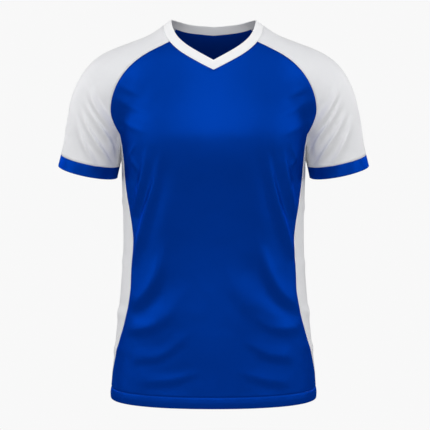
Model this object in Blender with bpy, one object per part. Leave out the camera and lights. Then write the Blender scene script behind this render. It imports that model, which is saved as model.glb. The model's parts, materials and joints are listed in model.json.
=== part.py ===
"""A short-sleeved volleyball jersey with raglan sleeves, hollow and filled out as it is when worn.

Metres, +Z up. The jersey faces -Y, and +X is the wearer's left. The origin is the middle of the neck
opening at the height of the shoulder points, where the wearer's shoulders hold the jersey up.

A smooth form, made of a torso and two arms, gives the room inside the cloth. Seam lines are laid on the
form, each panel is a grid of points between its seams, folds move the points in or out, and every panel is
a thin wall.
"""

from collections import namedtuple

import bmesh
import bpy
import numpy as np

# Cloth
PANEL_CLOTH = 0.0012
TURNED_CLOTH = 0.0022  # two layers, where the hem is turned up
CUFF_CLOTH = 0.0018
COLLAR_CLOTH = 0.0022
COLLAR_RISE = 0.0003  # the rib stands a little proud of the panels
SEAM_GAP = 0.0003

# Sizes, as heights below the shoulder point or widths along the cloth
HEM_HEIGHT = -0.696
HEM_TURN = 0.020
HEM_STEP = 0.003  # the height over which the wall thins above the turned hem
COLLAR_WIDTH = 0.0170
CUFF_WIDTH = 0.0225
ARMPIT_HALF_WIDTH = 0.040  # fore and aft, from the middle of the armpit to the raglan seam
ARMPIT_RANGE = (-0.280, -0.160)  # heights between which the armpit lies
FRONT_CORNER = 53  # degrees round the neck from the front, where the raglan seam meets the collar
BACK_CORNER = 128

# Colours and roughness of the knits
BLUE = (0.003, 0.036, 0.290)
WHITE = (0.800, 0.810, 0.840)
BLUE_ROUGHNESS = 0.42
WHITE_ROUGHNESS = 0.45
RIB_ROUGHNESS = 0.55

# The general figure inside the cloth, as level sections, from the hem up
Section = namedtuple("Section", "height half_width front back squareness")
TORSO = (
    Section(-0.720, 0.1930, 0.120, 0.123, 2.30),
    Section(-0.680, 0.1915, 0.120, 0.124, 2.30),
    Section(-0.600, 0.1835, 0.118, 0.123, 2.25),
    Section(-0.510, 0.1745, 0.115, 0.117, 2.25),
    Section(-0.430, 0.1680, 0.113, 0.110, 2.25),
    Section(-0.360, 0.1675, 0.116, 0.109, 2.25),
    Section(-0.300, 0.1690, 0.121, 0.113, 2.25),
    Section(-0.245, 0.1705, 0.126, 0.118, 2.25),
    Section(-0.200, 0.1750, 0.1265, 0.120, 2.25),
    Section(-0.160, 0.1720, 0.123, 0.121, 2.20),
    Section(-0.110, 0.1450, 0.108, 0.115, 2.10),
    Section(-0.070, 0.1170, 0.092, 0.100, 2.00),
    Section(-0.035, 0.0930, 0.076, 0.083, 2.00),
    Section(-0.006, 0.0810, 0.064, 0.074, 2.00),
    Section(0.006, 0.0690, 0.060, 0.071, 2.00),
    Section(0.040, 0.0420, 0.048, 0.062, 2.00),
)

# The middle line of the shoulder and upper arm, from beside the neck to past the cuff
Core = namedtuple("Core", "x height radius")
ARM = (
    Core(0.0500, -0.0620, 0.0560),
    Core(0.0900, -0.0770, 0.0580),
    Core(0.1400, -0.0960, 0.0600),
    Core(0.1835, -0.1185, 0.0625),
    Core(0.2050, -0.1560, 0.0602),
    Core(0.2135, -0.1950, 0.0570),
    Core(0.2225, -0.2350, 0.0555),
    Core(0.2320, -0.2750, 0.0560),
    Core(0.2430, -0.3350, 0.0560),
)
ARM_DEPTH = 1.10  # the arm is this much deeper, front to back, than wide
ARM_SAMPLES = 90

# How far the torso and the arm flow into each other
Blend = namedtuple("Blend", "height reach")
BLENDS = (Blend(-0.255, 0.001), Blend(-0.215, 0.010), Blend(-0.150, 0.040), Blend(0.000, 0.045))

# The neck seam, by the angle round the neck from the front
NeckPoint = namedtuple("NeckPoint", "angle height")
NECK_SEAM = (
    NeckPoint(0, -0.0840),
    NeckPoint(16, -0.0710),
    NeckPoint(40, -0.0495),
    NeckPoint(53, -0.0345),
    NeckPoint(73, -0.0110),
    NeckPoint(90, -0.0050),
    NeckPoint(115, -0.0090),
    NeckPoint(145, -0.0200),
    NeckPoint(180, -0.0260),
)

# The raglan seams between the collar and the armpit, seen from the front and from the back
SeamPoint = namedtuple("SeamPoint", "x height")
RAGLAN_FRONT = (
    SeamPoint(0.1113, -0.0500),
    SeamPoint(0.1304, -0.0607),
    SeamPoint(0.1553, -0.0822),
    SeamPoint(0.1735, -0.1085),
    SeamPoint(0.1837, -0.1360),
    SeamPoint(0.1865, -0.1578),
    SeamPoint(0.1820, -0.1815),
)
RAGLAN_BACK = (
    SeamPoint(0.1080, -0.0430),
    SeamPoint(0.1290, -0.0560),
    SeamPoint(0.1535, -0.0785),
    SeamPoint(0.1715, -0.1060),
    SeamPoint(0.1820, -0.1350),
    SeamPoint(0.1850, -0.1580),
    SeamPoint(0.1810, -0.1820),
)

# The side panel's edges, as distances in front of and behind the side line
SideEdge = namedtuple("SideEdge", "height forward aft")
SIDE_PANEL = (
    SideEdge(-0.655, 0.0000, 0.0000),
    SideEdge(-0.640, 0.0150, 0.0140),
    SideEdge(-0.615, 0.0290, 0.0280),
    SideEdge(-0.580, 0.0430, 0.0420),
    SideEdge(-0.530, 0.0580, 0.0560),
    SideEdge(-0.500, 0.0625, 0.0600),
    SideEdge(-0.445, 0.0585, 0.0590),
    SideEdge(-0.398, 0.0630, 0.0600),
    SideEdge(-0.350, 0.0570, 0.0560),
    SideEdge(-0.300, 0.0470, 0.0480),
    SideEdge(-0.260, 0.0405, 0.0410),
    SideEdge(-0.205, 0.0400, 0.0400),
)

# The largest folds. Each runs through three points, seen from the front; a positive rise is a ridge.
Fold = namedtuple("Fold", "start middle end rise half_width")
FRONT_FOLDS = (
    Fold((-0.121, -0.237), (-0.133, -0.320), (-0.141, -0.366), -0.0030, 0.011),
    Fold((-0.085, -0.236), (-0.111, -0.327), (-0.143, -0.440), -0.0045, 0.014),
    Fold((-0.082, -0.299), (-0.109, -0.418), (-0.147, -0.520), 0.0030, 0.015),
    Fold((-0.078, -0.444), (-0.106, -0.500), (-0.150, -0.532), -0.0050, 0.013),
    Fold((-0.057, -0.530), (-0.100, -0.530), (-0.150, -0.545), 0.0025, 0.012),
    Fold((-0.078, -0.544), (-0.115, -0.558), (-0.147, -0.565), -0.0030, 0.010),
    Fold((-0.055, -0.585), (-0.097, -0.600), (-0.140, -0.608), -0.0040, 0.013),
    Fold((-0.030, -0.637), (-0.079, -0.647), (-0.135, -0.649), -0.0035, 0.014),
    Fold((0.085, -0.222), (0.103, -0.309), (0.130, -0.425), -0.0045, 0.014),
    Fold((0.062, -0.418), (0.102, -0.487), (0.152, -0.532), -0.0055, 0.015),
    Fold((0.042, -0.446), (0.078, -0.506), (0.146, -0.544), 0.0030, 0.013),
    Fold((0.062, -0.512), (0.093, -0.544), (0.132, -0.565), -0.0035, 0.011),
    Fold((0.055, -0.584), (0.093, -0.608), (0.138, -0.617), -0.0035, 0.013),
    Fold((0.055, -0.636), (0.095, -0.653), (0.138, -0.653), -0.0030, 0.013),
    Fold((-0.217, -0.125), (-0.201, -0.157), (-0.180, -0.193), -0.0050, 0.008),
    Fold((-0.235, -0.117), (-0.214, -0.165), (-0.186, -0.211), 0.0040, 0.008),
    Fold((-0.236, -0.160), (-0.213, -0.201), (-0.190, -0.236), 0.0035, 0.007),
    Fold((-0.255, -0.169), (-0.246, -0.202), (-0.226, -0.252), 0.0030, 0.007),
    Fold((0.215, -0.123), (0.200, -0.155), (0.180, -0.191), -0.0050, 0.008),
    Fold((0.234, -0.113), (0.213, -0.161), (0.187, -0.209), 0.0040, 0.008),
    Fold((0.237, -0.154), (0.215, -0.198), (0.191, -0.238), 0.0035, 0.007),
    Fold((0.256, -0.164), (0.247, -0.200), (0.228, -0.250), 0.0030, 0.007),
)
BACK_FOLDS = (
    Fold((-0.095, -0.240), (-0.116, -0.345), (-0.145, -0.430), -0.0045, 0.015),
    Fold((-0.056, -0.415), (-0.098, -0.492), (-0.150, -0.525), -0.0050, 0.016),
    Fold((-0.060, -0.530), (-0.105, -0.548), (-0.150, -0.552), 0.0025, 0.013),
    Fold((-0.055, -0.590), (-0.100, -0.606), (-0.142, -0.608), -0.0035, 0.014),
    Fold((0.090, -0.235), (0.112, -0.340), (0.143, -0.420), -0.0045, 0.015),
    Fold((0.066, -0.430), (0.102, -0.486), (0.150, -0.520), -0.0050, 0.016),
    Fold((0.060, -0.530), (0.100, -0.566), (0.144, -0.578), -0.0035, 0.014),
    Fold((0.040, -0.632), (0.090, -0.646), (0.136, -0.644), -0.0030, 0.014),
    Fold((-0.034, -0.296), (0.004, -0.326), (0.040, -0.302), -0.0030, 0.018),
    Fold((-0.217, -0.128), (-0.203, -0.158), (-0.186, -0.188), -0.0045, 0.008),
    Fold((-0.238, -0.136), (-0.217, -0.180), (-0.194, -0.216), 0.0035, 0.008),
    Fold((0.216, -0.124), (0.202, -0.156), (0.185, -0.188), -0.0045, 0.008),
    Fold((0.240, -0.140), (0.219, -0.186), (0.195, -0.222), 0.0035, 0.008),
)
FOLD_SAMPLES = 25
FOLD_FADE = (0.10, 0.55)  # how squarely the cloth faces forwards where folds begin and where they are whole
FOLD_TAPER = 0.7  # below 1, a fold keeps its depth for longer before it runs out at its ends

# How many cells each seam is divided into
ACROSS_FRONT = 24
ACROSS_BACK = 20
ALONG_RAGLAN = 13
ALONG_SIDE = 21
ALONG_TIP = 1  # from the turned hem to the tip of the side panel
ACROSS_SIDE = 6
ACROSS_SHOULDER = 6  # the sleeve's edge along the collar
SLEEVE_ROWS = 14
CUFF_ROWS = 2
COLLAR_ROWS = 2

# Where the sleeve ends
CUFF_SEAM_HEIGHT = -0.2530  # where the cuff seam crosses the middle of the arm
CUFF_TILT = 4  # degrees that the front of the cuff hangs lower
CUFF_LEAN = 2  # degrees that the outer side of the cuff hangs lower than square to the arm

# Steps of the working out
MARCH = 0.003
FAR = 0.45
BISECTIONS = 18
SLOPE_STEP = 0.0004
SETTLE_ROUNDS = 3
RELAX_ROUNDS = 6
FAN = 121
TINY = 1e-9
MERGE = 0.00002
SHARP_ANGLE = 40
NECK_BEND = 1.5  # how quickly the rows below the neck become level
FRONT, BACK = -1.0, 1.0


def spline(stations, values, at):
    """Smooth values between a table's rows."""
    stations = np.asarray(stations, float)
    values = np.asarray(values, float).reshape(len(stations), -1)
    slopes = np.gradient(values, stations, axis=0)
    at = np.clip(at, stations[0], stations[-1])
    row = np.clip(np.searchsorted(stations, at) - 1, 0, len(stations) - 2)
    span = (stations[row + 1] - stations[row])[:, None]
    t = (at - stations[row])[:, None] / span
    rising = t * t * (3 - 2 * t)
    leaving = t * (1 - t) ** 2 * span * slopes[row]
    arriving = t * t * (t - 1) * span * slopes[row + 1]
    return (1 - rising) * values[row] + rising * values[row + 1] + leaving + arriving


def arm_line():
    """Middle points and radii along the arm, close together."""
    rows = np.array(ARM)
    run = np.append(0, np.cumsum(np.linalg.norm(np.diff(rows[:, :2], axis=0), axis=1)))
    x, height, radius = spline(run, rows, np.linspace(0, run[-1], ARM_SAMPLES)).T
    return np.stack([x, np.zeros_like(x), height], axis=1), radius


ARM_POINTS, ARM_RADII = arm_line()
TORSO_HEIGHTS = [section.height for section in TORSO]
TORSO_SIZES = [section[1:] for section in TORSO]


def torso_gap(points):
    """Level distance from the torso out to each point, negative inside it."""
    half_width, front, back, power = spline(TORSO_HEIGHTS, TORSO_SIZES, points[:, 2]).T
    depth = np.where(points[:, 1] < 0, front, back)
    across = np.abs(points[:, 0] / half_width) ** power
    along = np.abs(points[:, 1] / depth) ** power
    return np.hypot(points[:, 0], points[:, 1]) * (1 - (across + along + TINY) ** (-1 / power))


def arm_gap(points):
    """Distance from the nearer arm out to each point, negative inside it."""
    folded = points / (1, ARM_DEPTH, 1)
    folded[:, 0] = np.abs(folded[:, 0])
    return (np.linalg.norm(folded[:, None] - ARM_POINTS, axis=2) - ARM_RADII).min(axis=1)


def form_gap(points):
    """The torso and the arms as one smooth form."""
    torso = torso_gap(points)
    arm = arm_gap(points)
    reach = np.interp(points[:, 2], [blend.height for blend in BLENDS], [blend.reach for blend in BLENDS])
    share = np.clip(0.5 + 0.5 * (arm - torso) / reach, 0, 1)
    return arm * (1 - share) + torso * share - reach * share * (1 - share)


def cast(starts, directions, gap=form_gap):
    """Where rays that start inside a form leave it."""
    starts, directions = np.broadcast_arrays(np.asarray(starts, float), np.asarray(directions, float))
    reach = np.zeros(len(starts))
    going = np.ones(len(starts), bool)
    for _ in range(int(FAR / MARCH)):
        going &= gap(starts + (reach + MARCH)[:, None] * directions) < 0
        reach = np.where(going, reach + MARCH, reach)
        if not going.any():
            break
    low, high = reach, reach + MARCH
    for _ in range(BISECTIONS):
        middle = (low + high) / 2
        inside = gap(starts + middle[:, None] * directions) < 0
        low, high = np.where(inside, middle, low), np.where(inside, high, middle)
    return starts + high[:, None] * directions


def slope(points, gap=form_gap):
    """The steepest way out of the form at each point."""
    steps = SLOPE_STEP * np.eye(3)
    return np.stack([gap(points + step) - gap(points - step) for step in steps], axis=1) / (2 * SLOPE_STEP)


def unit(vectors):
    return vectors / (np.linalg.norm(vectors, axis=-1, keepdims=True) + TINY)


def normals_of(grid, gap=form_gap):
    return unit(slope(grid.reshape(-1, 3), gap)).reshape(grid.shape)


def settle(grid, gap=form_gap):
    """Points moved onto the form, each by the shortest way."""
    points = grid.reshape(-1, 3)
    for _ in range(SETTLE_ROUNDS):
        way = slope(points, gap)
        points = points - (gap(points) / (way ** 2).sum(axis=1))[:, None] * way
    return points.reshape(grid.shape)


def evenly(line, count):
    """The line divided into a number of equal lengths."""
    run = np.append(0, np.cumsum(np.linalg.norm(np.diff(line, axis=0), axis=1)))
    at = np.linspace(0, run[-1], count + 1)
    return np.stack([np.interp(at, run, axis) for axis in line.T], axis=1)


def smooth_line(points, count):
    """A smooth curve through the points, laid on the form and divided into equal lengths."""
    run = np.append(0, np.cumsum(np.linalg.norm(np.diff(points, axis=0), axis=1)))
    dense = settle(spline(run, points, np.linspace(0, run[-1], FAN)))
    return evenly(dense, count)


def mirrored(points):
    return points * (-1, 1, 1)


def level_rays(angles, heights, gap=form_gap):
    """Points on the form at the given angles from the front and heights."""
    angles, heights = np.broadcast_arrays(np.asarray(angles, float), np.asarray(heights, float))
    middle = np.zeros_like(angles)
    starts = np.stack([middle, middle, heights], axis=1)
    directions = np.stack([np.sin(angles), -np.cos(angles), middle], axis=1)
    return cast(starts, directions, gap)


def neck_height(angles):
    degrees = np.degrees(np.arccos(np.cos(angles)))  # the same on both sides of the neck
    return spline([point.angle for point in NECK_SEAM], [point.height for point in NECK_SEAM], degrees)[:, 0]


def neck_line(first, last, count):
    """The neck seam between two angles, in degrees round from the front."""
    angles = np.radians(np.linspace(first, last, FAN))
    return evenly(level_rays(angles, neck_height(angles)), count)


def armpit_line():
    """The bottom of the armpit from front to back, where the torso's side comes out from under the arm."""
    across = np.linspace(-ARMPIT_HALF_WIDTH, ARMPIT_HALF_WIDTH, FAN)
    low, high = (np.full(FAN, height) for height in ARMPIT_RANGE)
    for _ in range(BISECTIONS):
        middle = (low + high) / 2
        side = side_points(across, middle)
        covered = arm_gap(side) < 0
        high, low = np.where(covered, middle, high), np.where(covered, low, middle)
    return evenly(settle(side), ACROSS_SIDE)


def side_points(across, heights):
    """Points on the torso's left side, at distances behind the side line."""
    across, heights = np.broadcast_arrays(np.asarray(across, float), np.asarray(heights, float))
    starts = np.stack([np.zeros_like(across), across, heights], axis=1)
    return cast(starts, (1, 0, 0), torso_gap)


def raglan_line(table, facing, neck_corner, armpit_corner):
    """A raglan seam from the armpit up to the collar."""
    starts = [(point.x, 0, point.height) for point in table]
    middle = cast(starts, (0, facing, 0))
    return smooth_line(np.vstack([armpit_corner, middle[::-1], neck_corner]), ALONG_RAGLAN)


def side_edge(table_column, facing, armpit_corner):
    """One edge of the left side panel, from its tip up to the armpit."""
    heights = np.linspace(SIDE_PANEL[0].height, armpit_corner[2], ALONG_SIDE + 1)
    table = np.array(SIDE_PANEL)
    across = spline(table[:, 0], table[:, table_column], heights)
    line = side_points(facing * across[:, 0], heights)
    line[-1] = armpit_corner
    return line


class Seams:
    """The seam lines of the left half, each shared by the panels that meet there."""

    def __init__(self):
        self.neck_front = neck_line(-FRONT_CORNER, FRONT_CORNER, ACROSS_FRONT)
        self.neck_shoulder = neck_line(FRONT_CORNER, BACK_CORNER, ACROSS_SHOULDER)
        self.neck_back = neck_line(BACK_CORNER, 360 - BACK_CORNER, ACROSS_BACK)
        self.armpit = armpit_line()
        self.raglan_front = raglan_line(RAGLAN_FRONT, FRONT, self.neck_front[-1], self.armpit[0])
        self.raglan_back = raglan_line(RAGLAN_BACK, BACK, self.neck_back[0], self.armpit[-1])
        self.side_front = side_edge(1, FRONT, self.armpit[0])
        self.side_back = side_edge(2, BACK, self.armpit[-1])
        turn = HEM_HEIGHT + HEM_TURN
        plain = np.linspace(turn + HEM_STEP, SIDE_PANEL[0].height, ALONG_TIP + 1)[:-1]
        self.side_plain = side_points(0, np.concatenate([(HEM_HEIGHT, turn), plain]))

    def outline(self, side, raglan):
        """A panel's left edge from the hem to the collar."""
        return np.vstack([self.side_plain, side, raglan[1:]])


def body_panel(edge, neck, across, facing):
    """The front or the back: a row of points for each point of its edge, level below the armpit and bent
    towards the neck above it."""
    first_bent = len(edge) - 1 - ALONG_RAGLAN
    share = np.linspace(-1, 1, FAN)
    neck = neck[np.argsort(neck[:, 0])]
    neck_dip = np.interp(share * neck[-1, 0], neck[:, 0], neck[:, 2]) - neck[-1, 2]
    rows = []
    for index, point in enumerate(edge):
        if index > first_bent:
            bend = ((index - first_bent) / ALONG_RAGLAN) ** NECK_BEND
            starts = np.stack([share * point[0], np.zeros(FAN), point[2] + neck_dip * bend], axis=1)
            row = evenly(cast(starts, (0, facing, 0)), across)
        else:
            straight = 0 if facing == FRONT else np.pi
            angles = straight - facing * share * np.arctan2(point[0], facing * point[1])
            row = evenly(level_rays(angles, point[2], torso_gap), across)
        row[-1] = point
        row[0] = mirrored(point)
        rows.append(row)
    rows[-1] = neck
    return np.array(rows)


def relaxed(grid, gap=form_gap):
    """The inner rows of a ring-shaped grid, spread evenly over the form."""
    for _ in range(RELAX_ROUNDS):
        around = np.roll(grid, 1, axis=1) + np.roll(grid, -1, axis=1)
        grid[1:-1] = (around[1:-1] + grid[:-2] + grid[2:]) / 4
        grid[1:-1] = settle(grid[1:-1], gap)
    return grid


def cuff_rings(count):
    """Rings round the left arm, from the cuff seam down to the cuff's edge."""
    heights = ARM_POINTS[:, 2]
    start = np.abs(heights - CUFF_SEAM_HEIGHT).argmin()
    down = unit(ARM_POINTS[start + 1] - ARM_POINTS[start - 1])
    outward = np.cross((0, -1, 0), down)
    tilt, lean = np.radians(CUFF_TILT), np.radians(CUFF_LEAN)
    forward = np.cos(tilt) * np.array((0, -1, 0)) + np.sin(tilt) * down
    outward = np.cos(lean) * outward + np.sin(lean) * down
    angles = 2 * np.pi * (np.arange(count) - ACROSS_SHOULDER / 2) / count
    directions = np.cos(angles)[:, None] * outward + np.sin(angles)[:, None] * forward
    rings = []
    for row in range(CUFF_ROWS + 1):
        middle = ARM_POINTS[start] + down * CUFF_WIDTH * row / CUFF_ROWS
        rings.append(cast(np.repeat(middle[None], count, axis=0), directions, arm_gap))
    return np.array(rings)


def sleeve_grid(seams, cuff_seam):
    """The left sleeve: rings of points from the armhole and collar to the cuff seam."""
    loop = np.vstack([
        seams.neck_shoulder[::-1][:-1],
        seams.raglan_front[::-1][:-1],
        seams.armpit[:-1],
        seams.raglan_back[:-1],
    ])
    along = np.roll(loop, -1, axis=0) - np.roll(loop, 1, axis=0)
    leaving = unit(np.cross(normals_of(loop), along))
    arriving = unit(cuff_seam.mean(axis=0) - ARM_POINTS[ARM_SAMPLES // 2])
    span = np.linalg.norm(cuff_seam - loop, axis=1)[:, None]
    rows = []
    for t in np.linspace(0, 1, SLEEVE_ROWS + 1):
        rising = t * t * (3 - 2 * t)
        bulge = t * (1 - t) ** 2 * span * leaving + t * t * (t - 1) * span * arriving
        rows.append(loop + (cuff_seam - loop) * rising + bulge)
    grid = np.array(rows)
    grid[1:-1] = settle(grid[1:-1])
    return relaxed(grid)


def collar_grid(seams):
    """The collar band: rings from the neck seam up the form, with a mitre at the V."""
    ring = np.vstack([
        seams.neck_front[:-1],
        seams.neck_shoulder[:-1],
        seams.neck_back[:-1],
        mirrored(seams.neck_shoulder)[::-1][:-1],
    ])
    after = unit(np.roll(ring, -1, axis=0) - ring)
    before = unit(ring - np.roll(ring, 1, axis=0))
    upward = unit(np.cross(normals_of(ring), after + before))
    upward *= np.sign(upward[:, 2:])
    mitre = np.sqrt((1 + (after * before).sum(axis=1)) / 2)[:, None]
    rows = [ring + upward / mitre * COLLAR_WIDTH * row / COLLAR_ROWS for row in range(COLLAR_ROWS + 1)]
    return settle(np.array(rows))


def side_grid(seams):
    """The left side panel, from its tip up to the armpit."""
    rows = []
    for front, back in zip(seams.side_front, seams.side_back):
        across = np.linspace(front[1], back[1], ACROSS_SIDE + 1)
        rows.append(side_points(across, (front[2] + back[2]) / 2))
        rows[-1][0], rows[-1][-1] = front, back
    rows[-1] = seams.armpit
    return np.array(rows)


def fold_rise(points, normals):
    """How far the folds move each point along its normal."""
    rise = np.zeros(len(points))
    for facing, folds in ((FRONT, FRONT_FOLDS), (BACK, BACK_FOLDS)):
        fade = np.clip((facing * normals[:, 1] - FOLD_FADE[0]) / (FOLD_FADE[1] - FOLD_FADE[0]), 0, 1)
        fade *= fade * (3 - 2 * fade)
        for fold in folds:
            t = np.linspace(0, 1, FOLD_SAMPLES)[:, None]
            line = (1 - t) * (1 - 2 * t) * fold.start + t * (2 * t - 1) * fold.end
            line = line + 4 * t * (1 - t) * fold.middle
            apart = np.linalg.norm(points[:, None, (0, 2)] - line, axis=2)
            nearest = apart.argmin(axis=1)
            taper = np.sin(np.pi * t[nearest, 0]) ** FOLD_TAPER
            rise += fold.rise * fade * taper * np.exp(-(apart.min(axis=1) / fold.half_width) ** 2)
    return rise


def pulled_in(grid, normals, ring):
    """The grid with its seam edges drawn back by half a seam gap."""
    result = grid.copy()
    edges = [(0, slice(None), 1), (-1, slice(None), -2)]
    for edge, columns, inner in edges:
        line = grid[edge, columns]
        along = np.roll(line, -1, axis=0) - np.roll(line, 1, axis=0) if ring else np.gradient(line, axis=0)
        result[edge] += drawn_back(along, normals[edge], grid[inner] - line)
    if not ring:
        for edge, inner in ((0, 1), (-1, -2)):
            line = grid[:, edge]
            result[:, edge] += drawn_back(np.gradient(line, axis=0), normals[:, edge], grid[:, inner] - line)
    return result


def drawn_back(along, normals, inward):
    """Half a seam gap, square to the seam and towards the inside of the panel."""
    square = unit(np.cross(along, normals))
    return square * np.sign((square * inward).sum(axis=1))[:, None] * SEAM_GAP / 2


def wall_object(name, grid, thickness, paint, ring=False, rise=0.0, gap=form_gap):
    """A closed thin wall with the grid as its outer face."""
    normals = normals_of(grid, gap)
    grid = pulled_in(grid, normals, ring)
    lift = fold_rise(grid.reshape(-1, 3), normals.reshape(-1, 3)).reshape(grid.shape[:2]) + rise
    outer = grid + normals * lift[:, :, None]
    inner = outer - normals * np.broadcast_to(thickness, grid.shape[:2])[:, :, None]
    rows, columns = grid.shape[:2]
    mesh = bpy.data.meshes.new(name)
    shape = bmesh.new()
    skins = [[[shape.verts.new(point) for point in row] for row in skin] for skin in (outer, inner)]
    last = columns if ring else columns - 1
    for row in range(rows - 1):
        for column in range(last):
            after = (column + 1) % columns
            for lower, upper in ((skin[row], skin[row + 1]) for skin in skins):
                shape.faces.new((lower[column], lower[after], upper[after], upper[column]))
    rims = [[(row, column) for column in range(columns)] for row in (0, rows - 1)]
    if not ring:
        rims += [[(row, column) for row in range(rows)] for column in (0, columns - 1)]
    for rim in rims:
        pairs = list(zip(rim, rim[1:])) + ([(rim[-1], rim[0])] if ring else [])
        for (row, column), (next_row, next_column) in pairs:
            shape.faces.new((skins[0][row][column], skins[0][next_row][next_column],
                             skins[1][next_row][next_column], skins[1][row][column]))
    bmesh.ops.remove_doubles(shape, verts=shape.verts, dist=MERGE)  # the tip of a side panel is one point
    bmesh.ops.triangulate(shape, faces=shape.faces)
    bmesh.ops.recalc_face_normals(shape, faces=shape.faces)
    shape.to_mesh(mesh)
    shape.free()
    mesh.materials.append(paint)
    mesh.shade_smooth()
    mesh.set_sharp_from_angle(angle=np.radians(SHARP_ANGLE))
    panel = bpy.data.objects.new(name, mesh)
    bpy.context.scene.collection.objects.link(panel)
    return panel


def cloth(name, colour, roughness):
    """One plain knit colour."""
    paint = bpy.data.materials.new(name)
    paint.use_nodes = True
    shader = paint.node_tree.nodes["Principled BSDF"]
    shader.inputs["Base Color"].default_value = (*colour, 1)
    shader.inputs["Roughness"].default_value = roughness
    shader.inputs["Metallic"].default_value = 0
    return paint


def front_and_back(seams):
    """The two blue panels, thicker where the hem is turned up."""
    front_edge = seams.outline(seams.side_front, seams.raglan_front)
    back_edge = seams.outline(seams.side_back, seams.raglan_back)
    front = body_panel(front_edge, seams.neck_front, ACROSS_FRONT, FRONT)
    back = body_panel(back_edge, seams.neck_back, ACROSS_BACK, BACK)
    hemmed = np.full((len(front), 1), PANEL_CLOTH)
    hemmed[:2] = TURNED_CLOTH
    wall_object("front", front, hemmed, cloth("front_blue", BLUE, BLUE_ROUGHNESS))
    wall_object("back", back, hemmed, cloth("back_blue", BLUE, BLUE_ROUGHNESS))


def sides_sleeves_and_cuffs(seams):
    """The white side panels and sleeves and the blue cuffs, the right ones mirrored from the left."""
    side = side_grid(seams)
    cuff = cuff_rings(2 * ALONG_RAGLAN + ACROSS_SHOULDER + ACROSS_SIDE)
    sleeve = sleeve_grid(seams, cuff[0])
    for hand, turn in (("left", 1), ("right", -1)):
        side_paint = cloth(f"side_{hand}_white", WHITE, WHITE_ROUGHNESS)
        wall_object(f"side_{hand}", side * (turn, 1, 1), PANEL_CLOTH, side_paint)
        sleeve_paint = cloth(f"sleeve_{hand}_white", WHITE, WHITE_ROUGHNESS)
        wall_object(f"sleeve_{hand}", sleeve * (turn, 1, 1), PANEL_CLOTH, sleeve_paint, ring=True)
        cuff_paint = cloth(f"cuff_{hand}_blue", BLUE, BLUE_ROUGHNESS)
        wall_object(f"cuff_{hand}", cuff * (turn, 1, 1), CUFF_CLOTH, cuff_paint, ring=True, gap=arm_gap)


def build():
    for old in list(bpy.data.objects):
        bpy.data.objects.remove(old)
    seams = Seams()
    front_and_back(seams)
    sides_sleeves_and_cuffs(seams)
    collar_paint = cloth("collar_white", WHITE, RIB_ROUGHNESS)
    wall_object("collar", collar_grid(seams), COLLAR_CLOTH, collar_paint, ring=True, rise=COLLAR_RISE)


build()
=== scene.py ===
# A filled-out volleyball jersey: knit panels with their folds, V collar, cuffs, turned hem and sewing.
# Metres, +Z up. The jersey faces -Y, and +X is the wearer's left.
import json
import math
import bmesh
import bpy
import numpy as np
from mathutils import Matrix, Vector, noise
from mathutils.bvhtree import BVHTree

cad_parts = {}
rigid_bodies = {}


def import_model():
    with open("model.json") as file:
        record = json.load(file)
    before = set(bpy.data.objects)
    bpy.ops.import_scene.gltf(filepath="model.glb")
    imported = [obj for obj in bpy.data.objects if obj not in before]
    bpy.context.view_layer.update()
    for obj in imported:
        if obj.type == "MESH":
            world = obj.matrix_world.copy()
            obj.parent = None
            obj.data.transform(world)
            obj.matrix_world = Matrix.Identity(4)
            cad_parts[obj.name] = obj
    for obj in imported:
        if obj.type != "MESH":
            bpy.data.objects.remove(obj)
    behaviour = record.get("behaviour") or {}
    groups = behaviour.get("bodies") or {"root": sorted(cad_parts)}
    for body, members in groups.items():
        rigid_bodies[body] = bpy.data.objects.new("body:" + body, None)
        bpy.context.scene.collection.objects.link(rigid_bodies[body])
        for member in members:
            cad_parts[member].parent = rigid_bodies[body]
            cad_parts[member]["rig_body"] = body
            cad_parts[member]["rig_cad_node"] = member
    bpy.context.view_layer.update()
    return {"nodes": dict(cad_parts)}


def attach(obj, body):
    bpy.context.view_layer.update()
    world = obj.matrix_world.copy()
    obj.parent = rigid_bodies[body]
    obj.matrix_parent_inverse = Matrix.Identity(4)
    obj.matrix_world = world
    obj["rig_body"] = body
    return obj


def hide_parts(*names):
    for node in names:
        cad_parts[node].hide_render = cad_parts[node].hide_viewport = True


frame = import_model()
print("frame loaded:", len(frame["nodes"]), "panels")


def pickOnly(piece):
    bpy.ops.object.select_all(action="DESELECT")
    piece.hide_set(False)
    piece.select_set(True)
    bpy.context.view_layer.objects.active = piece


def pointsOf(piece):
    places = np.empty(len(piece.data.vertices) * 3)
    piece.data.vertices.foreach_get("co", places)
    return places.reshape(-1, 3)


def putPoints(piece, places):
    piece.data.vertices.foreach_set("co", places.ravel())
    piece.data.update()


def unit(rows):
    return rows / (np.linalg.norm(rows, axis=-1, keepdims=True) + 1e-9)


def weightsOf(piece, label):
    index = piece.vertex_groups[label].index
    weights = np.zeros(len(piece.data.vertices))
    for vertex in piece.data.vertices:
        for entry in vertex.groups:
            if entry.group == index:
                weights[vertex.index] = entry.weight
    return weights


def treeOf(pieces):
    # one search tree over the faces of several meshes
    points, faces = [], []
    for piece in pieces:
        first = len(points)
        points += [vertex.co.copy() for vertex in piece.data.vertices]
        faces += [[first + index for index in face.vertices] for face in piece.data.polygons]
    return BVHTree.FromPolygons(points, faces)


def gapTo(tree, places, reach):
    found = [tree.find_nearest(Vector(place), reach)[3] for place in places]
    return np.array([reach if gap is None else gap for gap in found])


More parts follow.
